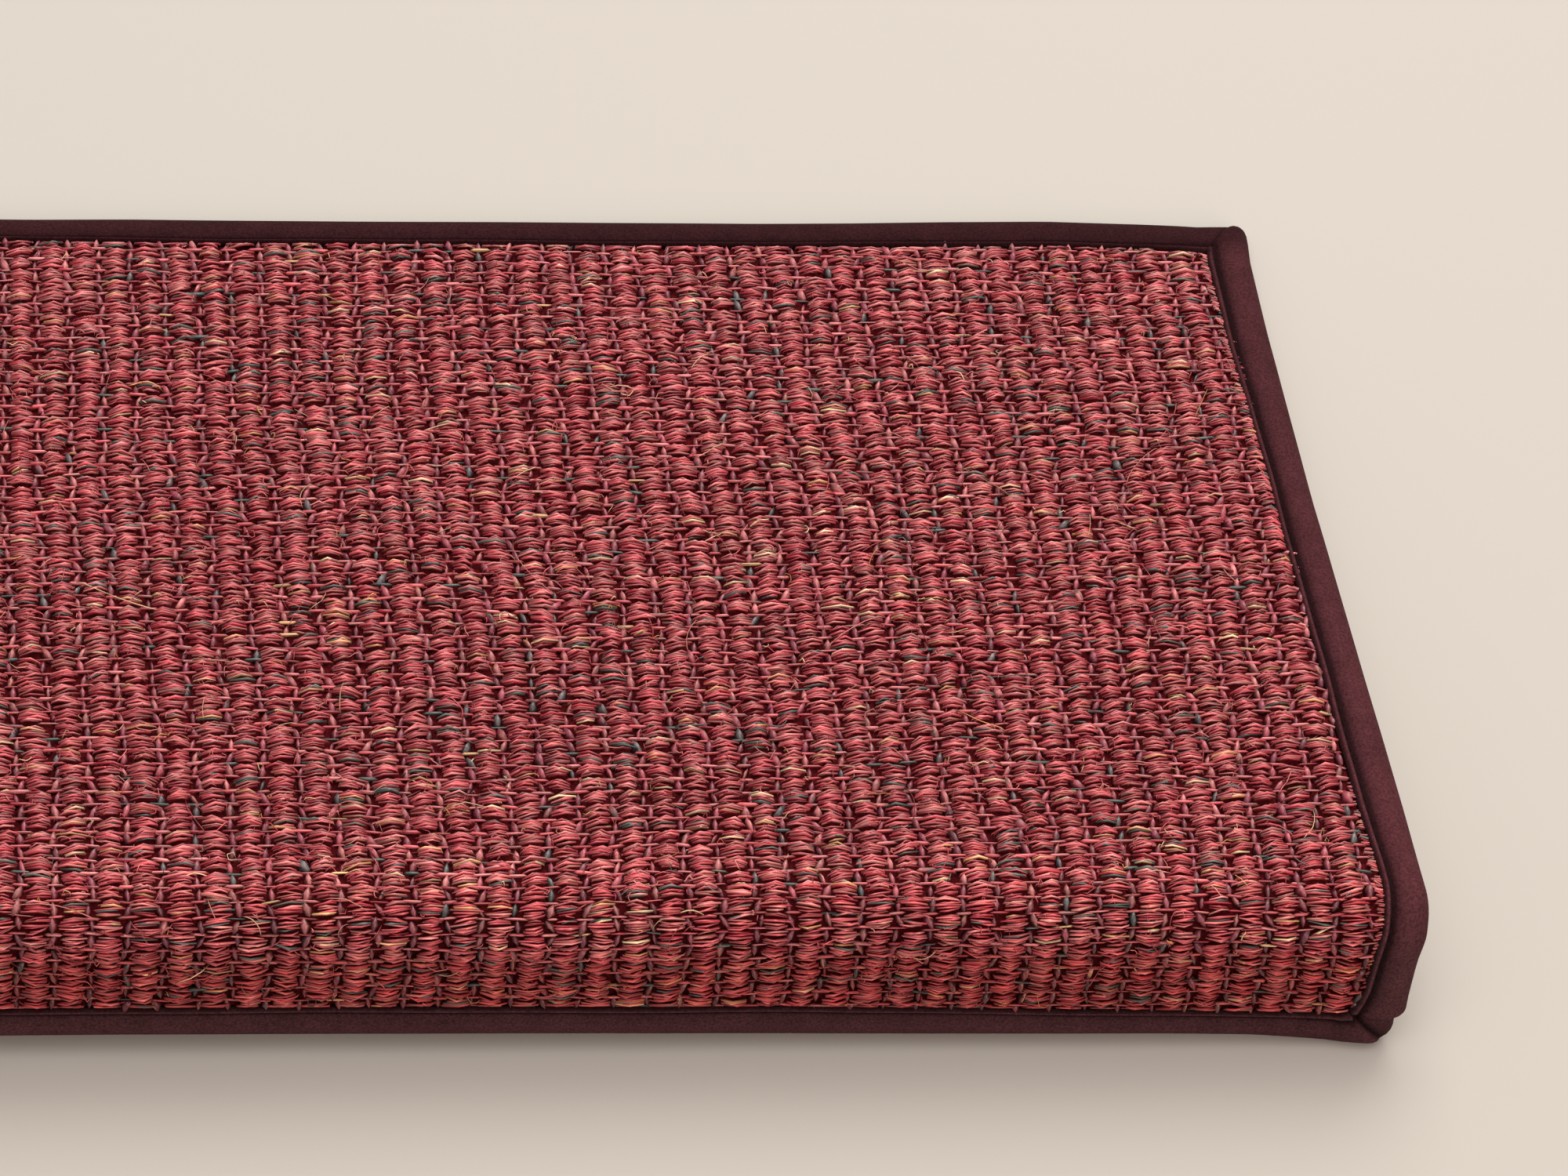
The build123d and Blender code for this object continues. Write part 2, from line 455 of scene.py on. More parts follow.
# Ribs: each cell is a bundle of strands that arch over the rib and draw together on both sides of it
onNose = overNoseShare(cellAlong)
calm = 1 - 0.5 * onNose  # the bundles lie tighter and more evenly over the nose
bundleSlant = rng.normal(*weave["slant"], cellCount) * calm
bundleHigh = rng.normal(*weave["high"], cellCount) * calm
bundleShift = rng.normal(*weave["shift"], (cellCount, 2)) * calm[:, None]
bundleWide = rng.normal(*weave["wide"], cellCount)
bundleBow = rng.normal(*weave["bow"], cellCount) * calm
bundleFall = 0.72 - 0.3 * onNose  # how far the outer strands lie below the middle ones
bundleShade = 0.36 - 0.2 * onNose  # and how much darker they are
ends = np.ones(cellCount)
for k in range(weave["strands"]):
    lane = (k + 0.5) / weave["strands"] - 0.5
    outer = (2 * lane) ** 2  # 0 for the middle strand of a bundle, and nearly 1 for its outer ones
    # Two tips and three rings, with each strand's top at a place of its own so that the bundle looks round
    rings = [
        rng.normal(-strand["shoulder"], strand["shoulderSpread"], cellCount),
        rng.uniform(-strand["top"], strand["top"], cellCount),
        rng.normal(strand["shoulder"], strand["shoulderSpread"], cellCount),
    ]
    arch = np.stack([-ends, *rings, ends], -1)
    archAngle = arch * weave["archTurn"]
    strandShift = rng.normal(0, strand["shift"], cellCount)
    strandSlant = bundleSlant + rng.normal(0, strand["slant"], cellCount)
    strandBow = bundleBow + rng.normal(0.0, strand["bow"], cellCount)
    high = bundleHigh + rng.normal(0, strand["high"], cellCount) - bundleFall * outer
    half = weave["ribWidth"] / 2 * bundleWide * rng.normal(1.0, strand["half"], cellCount)
    half *= 1.06 - 0.22 * outer
    offCentre = bundleShift[:, 0] + rng.normal(0, strand["offCentre"], cellCount)
    x = cellX[:, None] + offCentre[:, None] + half[:, None] * np.sin(archAngle) / np.sin(weave["archTurn"])
    spread = 1 - weave["draw"] * arch**2
    along = (
        cellAlong[:, None]
        + bundleShift[:, 1:]
        + (lane * weave["bundleDepth"] + strandShift)[:, None] * spread
        + strandSlant[:, None] * arch
        + strandBow[:, None] * (1 - arch**4)
    )
    rise = weave["ribCrest"] - weave["ribFoot"] + high
    full = np.cos(archAngle) ** weave["archFull"]
    height = weave["ribFoot"] - weave["footDip"] + (rise[:, None] + weave["footDip"]) * full
    paths = laid(np.stack([x, along, height], -1))
    thick = weave["strandRadius"] * rng.normal(1.0, strand["radius"], (cellCount, 1)).clip(0.55, 1.6)
    radii = thick * np.array([[0.85, 1.0, 0.85]])
    dyes = pickDyesWithPaintedLight(ribDyes, cellAlong)
    dyes[:, :3] *= 1.1 - bundleShade[:, None] * outer
    name = f"rib_strands_{k + 1}"
    addYarns(name, paths, radii, dyes, weave["archShade"], spunSisal, weave["ribs"])
print("rib strands done")

# Cross yarns: short bright stretches that show in the gap between two ribs at each row
crossYarn = {
    "half": (3.0, 0.45),  # half its length, with its spread
    "height": 5.85,
    "dip": 0.8,  # how far its ends go down
    "radius": (0.35, 0.09),
    "tuck": 1.4,
    "noseShade": 0.22,
    "shade": [0.3, 1.0, 1.0, 0.3],
    "dyes": [
        (0.55, "#c65a62"),
        (0.25, "#d27a7e"),
        (0.14, "#a0343f"),
        (0.05, "#4d5856"),
        (0.01, "#d8ae80"),
    ],
}
gapX = cellX + ribPitch / 2
barAlong = cellAlong + rowPitch / 2 * (1 - 0.1 * overNoseShare(cellAlong))
shown = insideWindow(gapX, barAlong, crossYarn["tuck"])
barX, barAlong, barCount = gapX[shown], barAlong[shown], int(shown.sum())
reach = np.array([-1.0, -0.5, 0.5, 1.0])
half = rng.normal(*crossYarn["half"], barCount)
x = barX[:, None] + rng.normal(0, 0.25, (barCount, 1)) + half[:, None] * reach
along = barAlong[:, None] + rng.normal(0, 0.16, (barCount, 1)) + rng.normal(0, 0.2, (barCount, 1)) * reach
height = crossYarn["height"] + rng.normal(0, 0.14, (barCount, 1)) - crossYarn["dip"] * reach**2
bars = laid(np.stack([x, along, height], -1))
radii = rng.normal(*crossYarn["radius"], (barCount, 1)).clip(0.18, 0.55) * np.ones((1, 2))
dyes = pickDyesWithPaintedLight(crossYarn["dyes"], barAlong)
dyes[:, :3] *= 1 - crossYarn["noseShade"] * overNoseShare(barAlong)[:, None]
addYarns("cross_yarns", bars, radii, dyes, crossYarn["shade"], spunSisal, weave["ribs"])

# Warp yarns: short stretches from front to back that show in the gap between two cross yarns
warpYarn = {
    "half": (0.42, 0.05),  # half its length as a share of a row, with its spread
    "height": 5.35,
    "dip": 0.8,
    "radius": (1.18, 0.22),
    "tuck": 0.8,
    "noseShade": 0.45,
    "shade": [0.25, 0.75, 0.95, 0.75, 0.25],
    "dyes": [(0.44, "#a54f5c"), (0.30, "#8a4050"), (0.20, "#bb6c70"), (0.06, "#625c60")],
}
shown = insideWindow(gapX, cellAlong, warpYarn["tuck"])
warpX, warpAlong, warpCount = gapX[shown], cellAlong[shown], int(shown.sum())
reach = np.array([-1.0, -0.75, 0.0, 0.75, 1.0])
half = rowPitch * rng.normal(*warpYarn["half"], warpCount)
x = warpX[:, None] + rng.normal(0, 0.4, (warpCount, 1)) + rng.normal(0, 0.55, (warpCount, 1)) * reach
along = warpAlong[:, None] + rng.normal(0, 0.2, (warpCount, 1)) + half[:, None] * reach
height = warpYarn["height"] + rng.normal(0, 0.16, (warpCount, 1)) - warpYarn["dip"] * reach**2
warps = laid(np.stack([x, along, height], -1))
radii = rng.normal(*warpYarn["radius"], (warpCount, 1)).clip(0.5, 1.6) * np.array([[0.8, 1.0, 0.8]])
dyes = pickDyesWithPaintedLight(warpYarn["dyes"], warpAlong)
dyes[:, :3] *= 1 - warpYarn["noseShade"] * overNoseShare(warpAlong)[:, None]
addYarns("warp_yarns", warps, radii, dyes, warpYarn["shade"], spunSisal, weave["ribs"])
print("gap yarns done")

# Loose fibres: hairs that came out of the yarn and curl over the pile
loose = {
    "kinds": [
        # name, how many, points along each, radius, half its typical length
        ("long_fibres", 1080, 7, 0.115, 3.4),
        ("short_fibres", 3480, 5, 0.11, 1.7),
    ],
    "rootHeight": 5.2,
    "height": 6.2,
    "clear": 0.3,  # room to the tape
    "mapColumns": 40,
    "dyes": [
        (0.45, "#c0525a"),
        (0.2, "#d98580"),
        (0.17, "#a23a45"),
        (0.08, "#e2c29a"),
        (0.05, "#d79a5e"),
        (0.05, "#5a6466"),
    ],
}
for name, count, steps, thick, typical in loose["kinds"]:
    t = np.linspace(0, 1, steps)
    startX = rng.uniform(-windowHalf + 2, windowHalf - 2, count)
    startAlong = rng.uniform(mat["tapeReach"] + 2, flatLength - mat["tapeReach"] - 4, count)
    long = rng.gamma(2.0, typical, count).clip(1.6, 24)
    heading = rng.normal(-0.1, 0.75, count) + pi * rng.integers(0, 2, count)
    curl = rng.normal(0, 1.0, count) * np.clip(8 / long, 0.3, 1.8)
    angle = heading[:, None] + curl[:, None] * (t - 0.5) * 2
    stepLong = (long / (steps - 1))[:, None]
    x = startX[:, None] + np.cumsum(np.cos(angle) * stepLong, axis=1)
    along = startAlong[:, None] + np.cumsum(np.sin(angle) * stepLong, axis=1)
    inside = (edgeRoom(x, along) > loose["clear"]).all(axis=1)
    x, along, startAlong, count = x[inside], along[inside], startAlong[inside], int(inside.sum())
    lift = rng.uniform(0.1, 1.2, (count, 1)) * np.sin(pi * t)
    height = loose["height"] + lift + 0.35 * np.sin(pi * t * 3) * rng.normal(0, 1, (count, 1))
    height[:, 0] = loose["rootHeight"]
    height[:, -1] = loose["rootHeight"] + rng.uniform(0, 1.8, count)
    fibres = laid(np.stack([x, along, height], -1))
    radii = thick * rng.normal(1, 0.25, (count, 1)).clip(0.5, 1.7) * np.ones((1, steps - 2))
    dyes = pickDyesWithPaintedLight(loose["dyes"], startAlong)
    addYarns(name, fibres, radii, dyes, np.ones(steps), spunSisal, loose["mapColumns"])
print("loose fibres done")

# Binding tape: one strip folded round the whole edge. Its section, from the inner edge on the pile, over
# the rim and back under the mat: share of the reach from the outer edge, height, and how lit the nap is there
roundIn = 1 - np.sin(np.radians([0, 22, 45, 67, 90]))
roundUp = 1 - np.cos(np.radians([0, 22, 45, 67, 90]))
tape = {
    "upper": [
        (1.00, 4.3, 0.35),
        (0.99, 5.2, 0.4),
        (0.965, 5.95, 0.6),
        (0.94, 6.3, 1.0),
        (0.915, 6.38, 1.2),
        (0.89, 6.25, 0.95),
        (0.865, 5.75, 0.4),
        (0.84, 5.3, 0.2),
        (0.785, 5.25, 0.22),
        (0.75, 5.65, 0.42),
        (0.70, 6.1, 0.72),
        (0.62, 6.3, 0.88),
        (0.52, 6.32, 1.0),
        (0.42, 6.25, 1.05),
        (0.32, 6.1, 1.05),
        (0.22, 5.75, 1.0),
        (0.13, 5.2, 1.0),
        (0.06, 4.5, 1.0),
        (0.012, 3.6, 1.0),
    ],
    "lower": [
        (0.36, 0.0, 1.0),
        (0.55, 0.02, 1.0),
        (0.78, 0.1, 0.8),
        (0.82, 0.35, 0.5),
        (0.86, 0.1, 0.8),
        (0.97, 0.05, 1.0),
        (1.0, 0.6, 0.8),
    ],
    # The strip's inner face, about 0.9 mm inside the outer one, from the underside back to the pile
    "inside": [
        (0.96, 0.85),
        (0.82, 1.0),
        (0.60, 0.9),
        (0.40, 0.85),
        (0.22, 1.2),
        (0.13, 2.0),
        (0.10, 3.0),
        (0.13, 4.0),
        (0.20, 4.8),
        (0.30, 5.2),
        (0.50, 5.4),
        (0.70, 5.2),
        (0.80, 4.5),
        (0.87, 5.4),
        (0.93, 5.4),
        (0.965, 4.5),
    ],
    "step": 4.4,  # mm between two stations on a straight side
    "sewnFrom": 0.66,  # the edge inside the seam starts at this share of the reach
    "crease": 0.192,  # the seam's share of the reach from the inner edge
    "dye": "#452429",
    "sheenDye": "#c98d90",
    "roughness": 0.95,
    "napScale": 0.55,  # mm, drawn coarser than the real 0.1 to 0.2 mm
    "mottleScale": 6.25,  # mm
}
rimLower = [(rim / 10 * a, rim * b, 1.0) for a, b in zip(roundIn[::-1], roundUp[::-1])]
insidePoints = [(reach, height, 0.8) for reach, height in tape["inside"]]
tapeSection = np.array(tape["upper"] + rimLower + tape["lower"] + insidePoints)


def tapeStations():
    # Down one half of the loop, from the middle of the back edge to the middle of the lip's end: inner and
    # outer place of the tape on the flat mat, and how far a fold lies above the rest
    inner = []
    outer = []
    lift = []

    def add(inX, inAlong, outX, outAlong, up=0.0):
        inner.append((inX, inAlong))
        outer.append((outX, outAlong))
        lift.append(up)

    for x in np.arange(0, 309, tape["step"]):
        add(x, float(backInner(x)), x, float(backEdge(x)))
    add(313.2, 10.28, 313.0, -1.5, 0.02)
    add(313.3, 10.3, 317.5, -1.65, 0.02)
    add(313.33, 10.32, 321.2, -1.8, -0.05)
    add(313.36, 10.34, 322.0, -1.85, -0.5)  # the mitre's crease
    add(313.4, 10.36, 322.4, -1.9, 0.1)
    add(313.45, 10.4, 323.4, -1.9, 0.42)
    add(313.5, 10.45, 324.6, -1.55, 0.42)
    add(313.55, 10.5, 325.4, -0.3, 0.35)
    add(313.55, 10.6, 325.6, 1.3, 0.28)
    add(313.5, 11.2, 325.5, 4.5, 0.2)
    add(windowHalf - float(sideInset(13.0)), 13.0, halfWidth, 11.5, 0.1)
    side = np.arange(16.5, flatRun - 2, tape["step"])
    bend = np.linspace(flatRun, flatRun + bendRun, 9)
    for along in np.concatenate([side, bend]):
        add(windowHalf - float(sideInset(along)), along, halfWidth, along)
    end = flatLength
    for along in np.linspace(flatRun + bendRun + 2.0, end - 13.6, 5):
        add(windowHalf - float(sideInset(along)), along, halfWidth, along, 0.05)
    # The side's tape ends in a cut edge above the corner
    add(312.4, end - 12.1, 325.1, end - 11.4, 0.15)
    add(312.25, end - 11.7, 325.15, end - 10.2, 0.25)
    add(312.15, end - 11.5, 325.1, end - 9.3, 0.32)
    add(312.05, end - 11.35, 324.8, end - 8.85, 0.38)
    add(312.0, end - 11.25, 323.9, end - 8.4, 0.4)
    add(311.95, end - 11.18, 323.1, end - 7.95, 0.38)
    add(311.9, end - 11.12, 322.8, end - 7.6, -0.05)
    # Below it the fold of the corner, which goes under the lip's tape at the mitre
    add(311.85, end - 11.05, 323.0, end - 6.4, -0.1)
    add(311.8, end - 11.0, 323.1, end - 4.8, -0.15)
    add(311.75, end - 10.95, 322.9, end - 3.2, -0.25)
    add(311.7, end - 10.9, 322.3, end - 1.9, -0.45)
    add(311.65, end - 10.86, 321.5, end - 1.0, -0.65)
    add(311.6, end - 10.83, 321.1, end - 0.7, -0.7)
    add(311.55, end - 10.8, 320.7, end - 0.45, 0.8)
    add(311.5, end - 10.76, 319.7, end - 0.1, 1.1)
    add(311.4, end - 10.7, 318.3, end, 1.15)
    add(311.0, end - 10.55, 315.8, end - 0.02, 0.9)
    add(310.0, end - float(frontInset(310.0)) + 0.2, 312.0, float(frontEdge(312.0)), 0.5)
    for x in np.arange(308, -0.1, -tape["step"]):
        add(x, end - float(frontInset(x)) + 0.2, x, float(frontEdge(x)))
    return np.array(inner), np.array(outer), np.array(lift)


def tapeLoop():
    inner, outer, lift = tapeStations()
    mirror = np.array([-1.0, 1.0])
    inner = np.concatenate([inner, inner[-2:0:-1] * mirror])
    outer = np.concatenate([outer, outer[-2:0:-1] * mirror])
    lift = np.concatenate([lift, lift[-2:0:-1]])
    # The mat is cut a little bowed at its sides, and neither sewing nor felt is quite even
    bow = np.interp(outer[:, 1], [0, 40, 100, 150, 200, 222, 240], [0, -0.8, -0.8, 0, 0.8, 0.9, 0.2])
    bow *= np.clip((np.abs(outer[:, 0]) - 300) / 20, 0, 1)
    outer[:, 0] += np.sign(outer[:, 0]) * bow
    inner[:, 0] += np.sign(inner[:, 0]) * bow
    middle = np.exp(-(((outer[:, 1] - flatRun - bendRun / 2) / 9) ** 2))
    lower = np.exp(-(((outer[:, 1] - flatRun - bendRun - 0.5) / 4) ** 2))
    outer[:, 0] += np.sign(outer[:, 0]) * (0.5 * middle + 0.45 * lower) * (np.abs(outer[:, 0]) > 322)
    wave = np.sin(outer[:, 0] / 17 + outer[:, 1] / 11)
    wave += 0.6 * np.sin(outer[:, 0] / 7.3 - outer[:, 1] / 5.1 + 1)
    inward = (inner - outer) / np.linalg.norm(inner - outer, axis=1, keepdims=True)
    inner -= inward * 0.12 * wave[:, None]
    outer += inward * 0.05 * (1 + wave[:, None] / 2)
    return inner, outer, lift + 0.04 * wave


def feltMaterial():
    # Felted cotton tape: no gloss at all, a short pale nap that catches light at a glance, and a dye that
    # mottles over a few millimetres
    material, tree = newMaterial("felted_binding_tape")
    dye = addNode(tree, "ShaderNodeAttribute", {"attribute_name": "dye"})
    place = addNode(tree, "ShaderNodeTexCoord")
    napScale = 1 / (tape["napScale"] * mm)
    mottleScale = 1 / (tape["mottleScale"] * mm)
    onTape = {"Vector": place.outputs["Object"]}
    nap = addNode(tree, "ShaderNodeTexNoise", {"Scale": napScale, "Detail": 2.0}, onTape)
    mottle = addNode(tree, "ShaderNodeTexNoise", {"Scale": mottleScale, "Detail": 3.0}, onTape)
    napRange = {**noiseSpan, "To Min": 0.62, "To Max": 1.38}
    mottleRange = {**noiseSpan, "To Min": 0.88, "To Max": 1.12}
    napShade = addNode(tree, "ShaderNodeMapRange", napRange, {"Value": nap.outputs["Fac"]})
    mottleShade = addNode(tree, "ShaderNodeMapRange", mottleRange, {"Value": mottle.outputs["Fac"]})
    both = addNode(
        tree,
        "ShaderNodeMath",
        {"operation": "MULTIPLY"},
        {0: napShade.outputs["Result"], 1: mottleShade.outputs["Result"]},
    )
    shadedLinks = {0: dye.outputs["Color"], "Scale": both.outputs["Value"]}
    shaded = addNode(tree, "ShaderNodeVectorMath", {"operation": "SCALE"}, shadedLinks)
    bumpSettings = {"Strength": 0.5, "Distance": 0.1 * mm}
    bump = addNode(tree, "ShaderNodeBump", bumpSettings, {"Height": nap.outputs["Fac"]})
    napSettings = {
        "Roughness": tape["roughness"],
        "Specular IOR Level": 0.06,
        "Sheen Weight": 0.02,
        "Sheen Roughness": 0.5,
        "Sheen Tint": toLinear(tape["sheenDye"]),
    }
    napLinks = {"Base Color": shaded.outputs["Vector"], "Normal": bump.outputs["Normal"]}
    shader = addNode(tree, "ShaderNodeBsdfPrincipled", napSettings, napLinks)
    addNode(tree, "ShaderNodeOutputMaterial", {}, {"Surface": shader.outputs["BSDF"]})
    return material


innerLoop, outerLoop, liftLoop = tapeLoop()
stationCount, sectionCount = len(innerLoop), len(tapeSection)
# The edge inside the seam is wide along the sides and narrow along the back and on the lip
sewnWide = np.interp(np.abs(innerLoop[:, 0]), [300, 311], [0.55, 1.0])
share = np.repeat(tapeSection[:, 0][None], stationCount, 0)
share = np.where(share > tape["sewnFrom"], 1 - (1 - share) * sewnWide[:, None], share)[..., None]
onFace = outerLoop[:, None] + (innerLoop - outerLoop)[:, None] * share
# Folds lift the upper side of the strip only
isUpper = np.arange(sectionCount) < len(tape["upper"])
liftShare = np.interp(tapeSection[:, 0], [0.02, 0.15, 0.85, 1.0], [0.0, 1.0, 1.0, 0.2]) * isUpper
tapeHeight = tapeSection[:, 1][None] + liftLoop[:, None] * liftShare[None]
tapePoints = overNose(np.concatenate([onFace, tapeHeight[..., None]], -1).reshape(-1, 3))
a = np.arange(stationCount)[:, None] * sectionCount
b = np.roll(np.arange(stationCount), -1)[:, None] * sectionCount
p = np.arange(sectionCount)[None]
q = np.roll(np.arange(sectionCount), -1)[None]
tapeFaces = np.stack([a + p, b + p, b + q, a + q], -1).reshape(-1, 4)
felt = np.array(toLinear(tape["dye"]))
feltDyesWithPaintedLight = np.ones((stationCount, sectionCount, 4))
# The tape is painted paler on the nose and the lip than along the back, as painted light and shade, and
# greyer on the lip. Along the back the painted shade of its seam is weaker. The creases of the corner folds
# get painted shade
tapeAlong = outerLoop[:, 1]
lipFrom = flatRun + bendRun + 6
# Painted light and shade: the tape is painted darkest at the back edge and palest over the nose
paintedTapeLight = np.interp(tapeAlong, [0, 12, flatRun, lipFrom, flatLength], [0.52, 0.98, 1.28, 1.24, 1.1])
greyed = np.interp(tapeAlong, [flatRun, lipFrom], [0, 1])[:, None] * np.array([-0.12, 0.12, 0.05])
# Painted shade of the seam, weaker along the back
seamShadeDepth = np.interp(tapeAlong, [0, 12], [0.6, 1.0])
# Painted shade in the creases of the corner folds
creaseShade = 1 + 1.1 * np.minimum(liftLoop, 0)
tone = tapeSection[:, 2][None] ** seamShadeDepth[:, None] * (paintedTapeLight * creaseShade)[:, None]
feltDyesWithPaintedLight[..., :3] = felt[:3] * tone[..., None] * (1 + greyed[:, None])
bindingTape = addPiece(
    "folded_tape",
    tapePoints,
    [tapeFaces],
    [feltMaterial()],
    dyes=feltDyesWithPaintedLight,
)
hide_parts("binding_tape")
print("binding tape done:", stationCount, "stations")

# Seam: dark thread stitched through the crease of the tape, all the way round
seam = {
    "pitch": 4.0,
    "stitch": 2.7,
    "height": 5.3,
    "rise": [-0.35, 0.08, 0.08, -0.35],  # of a stitch's four points over that height
    "radius": 0.16,
    "mapColumns": 30,
    "dye": "#241014",
}
creaseLine = outerLoop + (innerLoop - outerLoop) * (1 - tape["crease"] * sewnWide)[:, None]
closed = np.concatenate([creaseLine, creaseLine[:1]])
runs = np.concatenate([[0], np.cumsum(np.linalg.norm(np.diff(closed, axis=0), axis=1))])
seamCount = int(runs[-1] / seam["pitch"])
middle = (np.arange(seamCount) + 0.5) * runs[-1] / seamCount
t = np.array([-0.5, -0.3, 0.3, 0.5]) * seam["stitch"]
where = middle[:, None] + t
stitches = np.stack(
    [
        np.interp(where % runs[-1], runs, closed[:, 0]),
        np.interp(where % runs[-1], runs, closed[:, 1]),
        np.broadcast_to(seam["height"] + np.array(seam["rise"]), where.shape),
    ],
    -1,
)


def threadMaterial():
    # Spun polyester: fuzzy and dull, a shade darker than the tape
    material, tree = newMaterial("dark_polyester_thread")
    dye = addNode(tree, "ShaderNodeAttribute", {"attribute_name": "dye"})
    # The noise is spread over the mat's own box, 650 mm wide, so this is a fuzz of about 0.16 mm
    fuzz = addNode(tree, "ShaderNodeTexNoise", {"Scale": 4000.0, "Detail": 2.0})
    tone = addNode(tree, "ShaderNodeMapRange", {"To Min": 0.6, "To Max": 1.4}, {"Value": fuzz.outputs["Fac"]})
    tonedLinks = {0: dye.outputs["Color"], "Scale": tone.outputs["Result"]}
    toned = addNode(tree, "ShaderNodeVectorMath", {"operation": "SCALE"}, tonedLinks)
    dull = {"Roughness": 0.85, "Specular IOR Level": 0.15}
    shader = addNode(tree, "ShaderNodeBsdfPrincipled", dull, {"Base Color": toned.outputs["Vector"]})
    addNode(tree, "ShaderNodeOutputMaterial", {}, {"Surface": shader.outputs["BSDF"]})
    return material


seamThread = addYarns(
    "seam_stitches",
    stitches,
    np.full((seamCount, 2), seam["radius"]),
    np.tile(toLinear(seam["dye"]), (seamCount, 1)),
    np.ones(4),
    threadMaterial(),
    seam["mapColumns"],
)
print("seam done:", seamCount, "stitches")

# Base cloth: the tight ground of the weave with its latex back, inside the tape all round
base = {
    "inset": 1.5,  # inside the tape's outer edge
    "underTape": 0.8,  # from the tape's inner edge to the last point under it
    "bare": 0.4,  # and to the first one clear of it
    "step": 5.0,
    "latexLevel": 0.3,
    "tapedLevel": 1.2,  # the underside inside the tape's fold
    # Both ground colours are painted shade, darker than the fibre; the lit one is a little less dark
    "shadeDye": "#2e0408",
    "litDye": "#6c1018",
    "latexDark": "#8d8577",
    "latexPale": "#aaa294",
}


def groundMaterial():
    # Ground of the weave: the same dyed fibre, packed hard, its colours painted dark as painted shade of the
    # ribs
    material, tree = newMaterial("shaded_weave_ground")
    # The noise is spread over the mat's own box, 650 mm wide, so this is a grain of about 0.7 mm
    noise = addNode(tree, "ShaderNodeTexNoise", {"Scale": 900.0, "Detail": 3.0})
    ramp = addNode(tree, "ShaderNodeValToRGB", {}, {"Fac": noise.outputs["Fac"]})
    ramp.color_ramp.elements[0].position = 0.35
    ramp.color_ramp.elements[0].color = toLinear(base["shadeDye"])
    ramp.color_ramp.elements[1].position = 0.7
    ramp.color_ramp.elements[1].color = toLinear(base["litDye"])
    bumpSettings = {"Strength": 0.8, "Distance": 0.3 * mm}
    bump = addNode(tree, "ShaderNodeBump", bumpSettings, {"Height": noise.outputs["Fac"]})
    shader = addNode(
        tree,
        "ShaderNodeBsdfPrincipled",
        {"Roughness": 0.9, "Specular IOR Level": 0.1},
        {"Base Color": ramp.outputs["Color"], "Normal": bump.outputs["Normal"]},
    )
    addNode(tree, "ShaderNodeOutputMaterial", {}, {"Surface": shader.outputs["BSDF"]})
    return material


def latexMaterial():
    # Latex back: rolled on thin, so it is dull, mottled, and the weave presses through it
    material, tree = newMaterial("rolled_latex_back")
    place = addNode(tree, "ShaderNodeTexCoord")
    squash = addNode(tree, "ShaderNodeMapping", {}, {"Vector": place.outputs["Object"]})
    # Bands repeat every pi / 10 of the node's own units, which gives one to a rib and one to a row
    bandRepeat = 2 * pi / 20
    bandScale = (bandRepeat / (ribPitch * mm), bandRepeat / (rowPitch * mm), 1.0)
    squash.inputs["Scale"].default_value = bandScale
    bands = {"wave_type": "BANDS", "bands_direction": "X", "Scale": 1.0, "Distortion": 0.4}
    ribs = addNode(tree, "ShaderNodeTexWave", bands, {"Vector": squash.outputs["Vector"]})
    bands["bands_direction"] = "Y"
    rows = addNode(tree, "ShaderNodeTexWave", bands, {"Vector": squash.outputs["Vector"]})
    crossed = {0: ribs.outputs["Fac"], 1: rows.outputs["Fac"]}
    imprint = addNode(tree, "ShaderNodeMath", {"operation": "MULTIPLY"}, crossed)
    # 260 to the metre: a mottle of about 4 mm, as the roller leaves it
    grainSettings = {"Scale": 260.0, "Detail": 4.0}
    grain = addNode(tree, "ShaderNodeTexNoise", grainSettings, {"Vector": place.outputs["Object"]})
    ramp = addNode(tree, "ShaderNodeValToRGB", {}, {"Fac": grain.outputs["Fac"]})
    ramp.color_ramp.elements[0].position = 0.3
    ramp.color_ramp.elements[0].color = toLinear(base["latexDark"])
    ramp.color_ramp.elements[1].position = 0.7
    ramp.color_ramp.elements[1].color = toLinear(base["latexPale"])
    added = {0: imprint.outputs["Value"], 1: grain.outputs["Fac"]}
    relief = addNode(tree, "ShaderNodeMath", {"operation": "ADD"}, added)
    bumpSettings = {"Strength": 0.6, "Distance": 0.35 * mm}
    bump = addNode(tree, "ShaderNodeBump", bumpSettings, {"Height": relief.outputs["Value"]})
    shader = addNode(
        tree,
        "ShaderNodeBsdfPrincipled",
        {"Roughness": 0.72, "IOR": 1.52},
        {"Base Color": ramp.outputs["Color"], "Normal": bump.outputs["Normal"]},
    )
    addNode(tree, "ShaderNodeOutputMaterial", {}, {"Surface": shader.outputs["BSDF"]})
    return material


def outlineHalf(along):
    # Half width of the tape's outline, which is narrower at the round corners
    fromBack = np.interp(along, [-1.7, -1.2, -0.2, 1.5, 4.5], [322.0, 323.7, 324.4, 324.8, 325.0])
    places = [0.1, 0.5, 1.0, 1.9, 3.2, 4.8, 7.6, 8.4, 9.3]
    widths = [319.7, 320.7, 321.5, 322.3, 322.9, 323.1, 323.0, 323.9, 325.0]
    toEnd = np.interp(flatLength - along, places, widths)
    return np.minimum(fromBack, toEnd)


